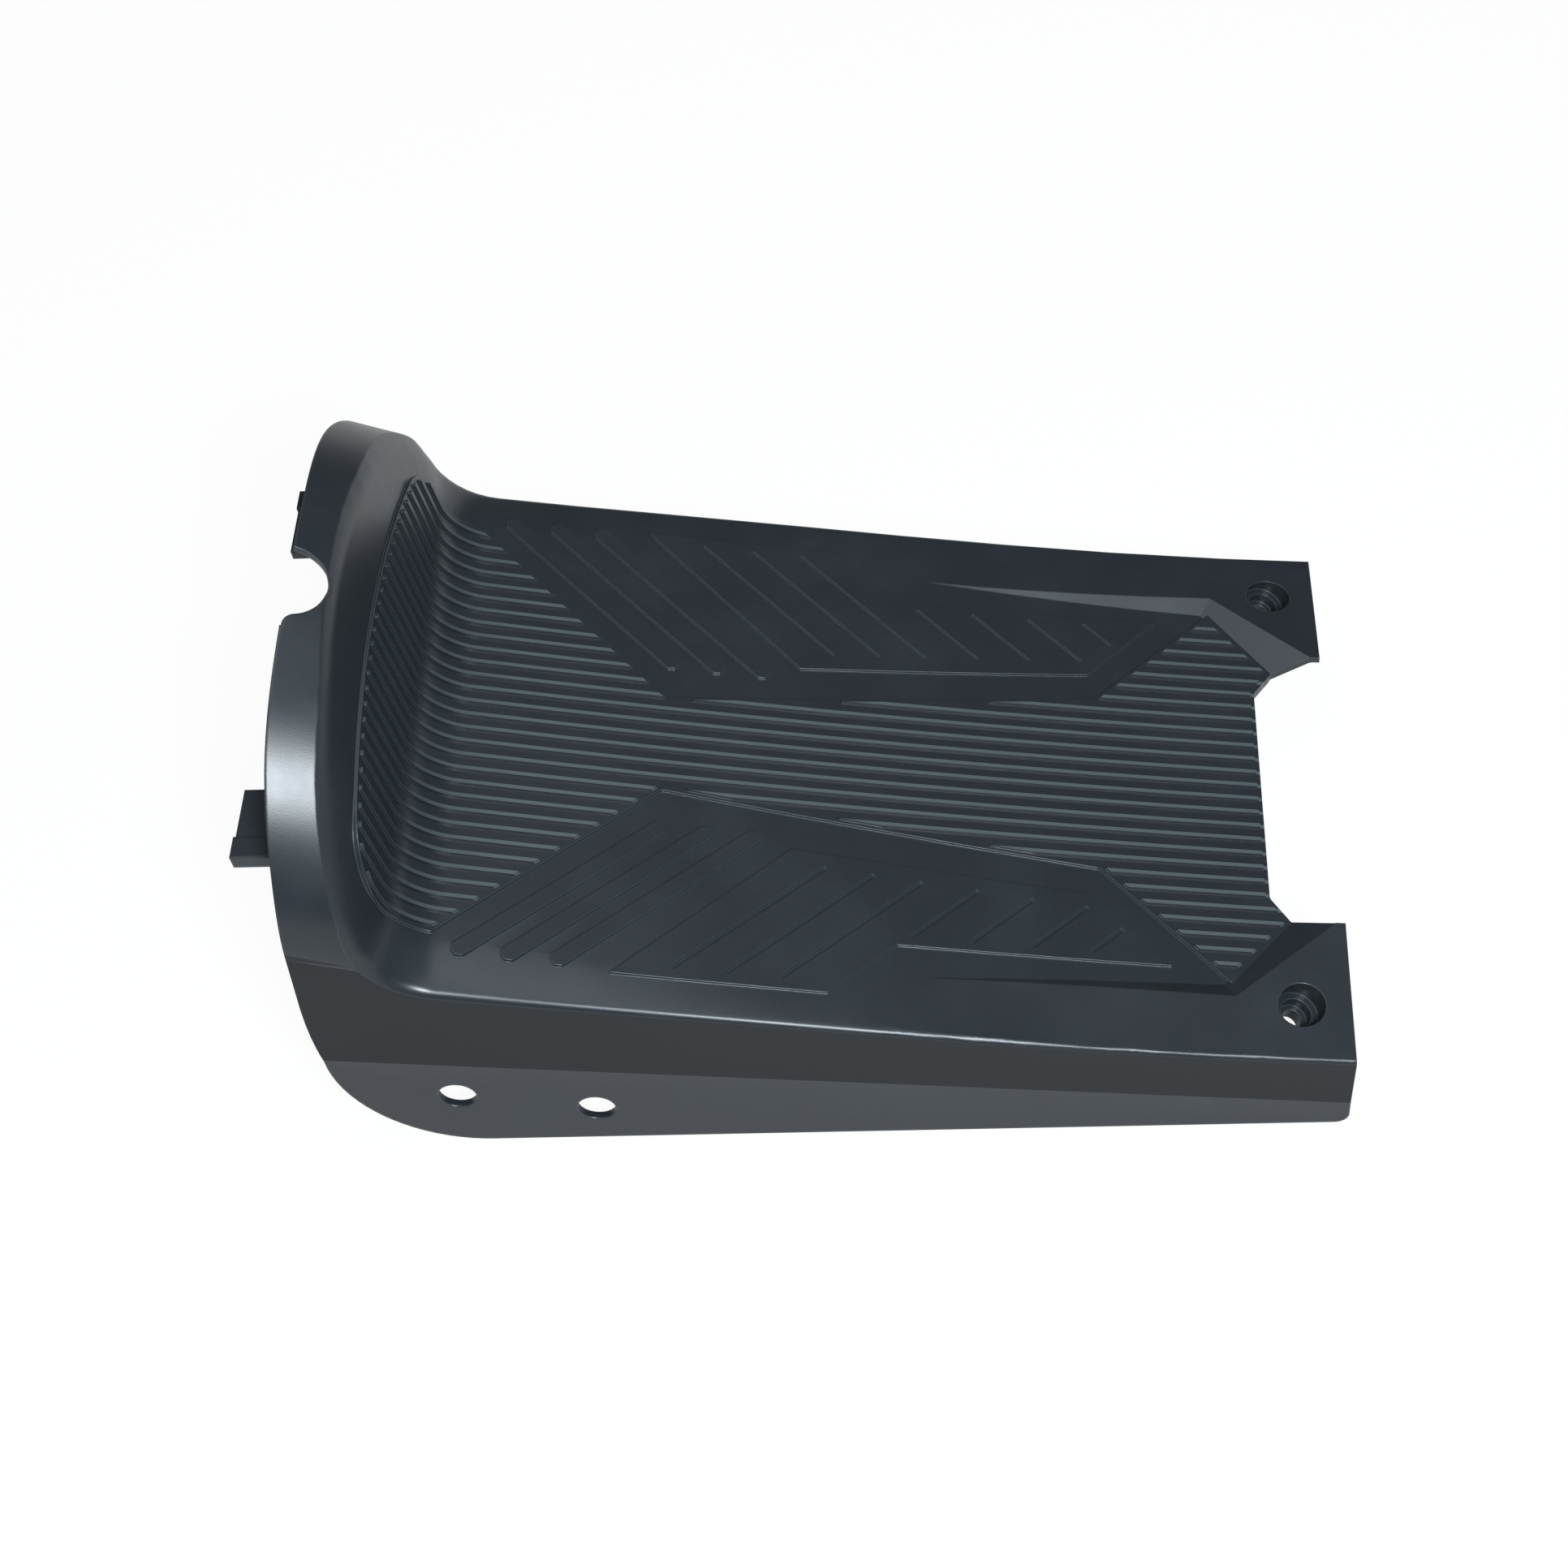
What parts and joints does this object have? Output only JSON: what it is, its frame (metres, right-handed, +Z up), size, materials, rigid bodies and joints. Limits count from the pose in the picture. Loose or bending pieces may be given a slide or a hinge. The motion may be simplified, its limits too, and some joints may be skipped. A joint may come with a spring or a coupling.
{
  "type": "scooter floorboard",
  "caption": "Moulded scooter floorboard: sloping ribbed deck rolling up into an arched front wall, with recessed foot pads, rear rails, screw seats and front hooks.",
  "frame": {"origin": "middle of the footprint, on the plane of the bottom rim", "axes": "+X to the rear of the scooter, +Y to its right-hand side seen from the rider, +Z up; the rim stands on z = 0"},
  "size_m": [0.3778, 0.2334, 0.2012],
  "materials": {
    "black_plastic": "fine moulded grain, satin, charcoal black"
  },
  "bodies": {
    "root": {"floorboard": "black_plastic"}
  },
  "joints": []
}
